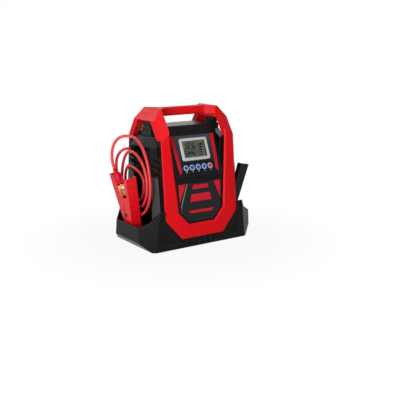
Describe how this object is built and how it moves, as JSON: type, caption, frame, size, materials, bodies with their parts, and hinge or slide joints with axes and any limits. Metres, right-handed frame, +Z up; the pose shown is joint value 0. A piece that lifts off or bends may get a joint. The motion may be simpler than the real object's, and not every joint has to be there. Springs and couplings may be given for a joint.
{
  "type": "portable jump starter",
  "caption": "Upright jump-starter power pack with a red carry frame, sloped control panel, side pockets with sprung clamps and hanging cable loops.",
  "frame": {"origin": "on the ground under the middle of the pack", "axes": "+X to the pack's right seen from its panel, +Y to its back, +Z up"},
  "size_m": [0.4304, 0.2314, 0.3955],
  "materials": {
    "black_plastic": "fine satin grain",
    "foot_rubber": "matt",
    "red_plastic": "satin gloss",
    "screw_steel": "zinc plated",
    "overlay_film": "printed film",
    "silver_plastic": "satin silver",
    "display_glass": "clear",
    "display_face": "reflective display",
    "circuit_board": "solder resist",
    "blue_button": "gloss",
    "red_button": "gloss",
    "pale_ring": "gloss",
    "black_parts": "matt",
    "shield_black": "gloss",
    "label_red": "printed film",
    "battery_case": "matt",
    "terminal_brass": "plain",
    "fuse_plastic": "plain",
    "red_grip": "gloss",
    "black_grip": "gloss",
    "copper": "copper plated",
    "nut_plating": "bright",
    "red_cable": "smooth insulation",
    "black_cable": "smooth insulation",
    "cap_rubber": "matt"
  },
  "bodies": {
    "pack": {"base_tray": "black_plastic", "front_housing": "black_plastic", "rear_housing": "black_plastic", "right_handle_post": "black_plastic", "left_handle_post": "black_plastic", "panel_fascia": "black_plastic", "rubber_feet": "foot_rubber", "front_frame": "red_plastic", "rear_frame": "red_plastic", "frame_screws": "screw_steel", "red_clamp_pin": "screw_steel", "black_clamp_pin": "screw_steel", "red_clamp_spring": "screw_steel", "black_clamp_spring": "screw_steel", "battery_bar": "screw_steel", "control_overlay": "overlay_film", "display_bezel": "silver_plastic", "display_window": "display_glass", "display_module": "display_face", "control_board": "circuit_board", "main_board": "circuit_board", "button_rings": "pale_ring", "button_switches": "black_parts", "relays": "black_parts", "power_socket": "black_parts", "charging_inlet": "black_parts", "red_cable_gland": "black_parts", "black_cable_gland": "black_parts", "shield_plate": "shield_black", "shield_label": "label_red", "side_triangles": "label_red", "front_battery": "battery_case", "rear_battery": "battery_case", "battery_terminals": "terminal_brass", "battery_link": "terminal_brass", "board_standoffs": "terminal_brass", "main_fuse": "fuse_plastic", "red_clamp_fixed_handle": "red_grip", "black_clamp_fixed_handle": "black_grip", "red_clamp_fixed_jaw": "copper", "black_clamp_fixed_jaw": "copper", "red_clamp_lug": "copper", "black_clamp_lug": "copper", "red_clamp_nut": "nut_plating", "black_clamp_nut": "nut_plating", "red_clamp_boot": "red_cable", "red_cable_coil": "red_cable", "black_clamp_boot": "black_cable", "black_cable_coil": "black_cable"},
    "button_1_body": {"button_1": "blue_button"},
    "button_2_body": {"button_2": "blue_button"},
    "button_3_body": {"button_3": "blue_button"},
    "button_4_body": {"button_4": "blue_button"},
    "button_5_body": {"button_5": "red_button"},
    "red_clamp_upper_half": {"red_clamp_moving_handle": "red_grip", "red_clamp_moving_jaw": "copper"},
    "black_clamp_upper_half": {"black_clamp_moving_handle": "black_grip", "black_clamp_moving_jaw": "copper"},
    "cap_body": {"socket_cap": "cap_rubber"}
  },
  "joints": [
    {"name": "button_1_press", "type": "slide", "parent": "pack", "child": "button_1_body", "axis": [0, 0.9239, -0.3827], "range_m": [0, 0.0012], "stiffness_N_per_m": 400},
    {"name": "button_2_press", "type": "slide", "parent": "pack", "child": "button_2_body", "axis": [0, 0.9239, -0.3827], "range_m": [0, 0.0012], "stiffness_N_per_m": 400},
    {"name": "button_3_press", "type": "slide", "parent": "pack", "child": "button_3_body", "axis": [0, 0.9239, -0.3827], "range_m": [0, 0.0012], "stiffness_N_per_m": 400},
    {"name": "button_4_press", "type": "slide", "parent": "pack", "child": "button_4_body", "axis": [0, 0.9239, -0.3827], "range_m": [0, 0.0012], "stiffness_N_per_m": 400},
    {"name": "button_5_press", "type": "slide", "parent": "pack", "child": "button_5_body", "axis": [0, 0.9239, -0.3827], "range_m": [0, 0.0012], "stiffness_N_per_m": 400},
    {"name": "red_clamp_squeeze", "type": "hinge", "parent": "pack", "child": "red_clamp_upper_half", "pos_m": [-0.1755, 0, 0.098], "axis": [-0.9781, 0, -0.2079], "range_deg": [0, 28], "stiffness_Nm_per_rad": 4, "springref_deg": -17.19},
    {"name": "black_clamp_squeeze", "type": "hinge", "parent": "pack", "child": "black_clamp_upper_half", "pos_m": [0.1755, 0, 0.098], "axis": [-0.9781, 0, 0.2079], "range_deg": [0, 28], "stiffness_Nm_per_rad": 4, "springref_deg": -17.19},
    {"name": "socket_cap_hinge", "type": "hinge", "parent": "pack", "child": "cap_body", "pos_m": [0.03, 0.08444, 0.23639], "axis": [1, 0, 0], "range_deg": [0, 110]}
  ]
}
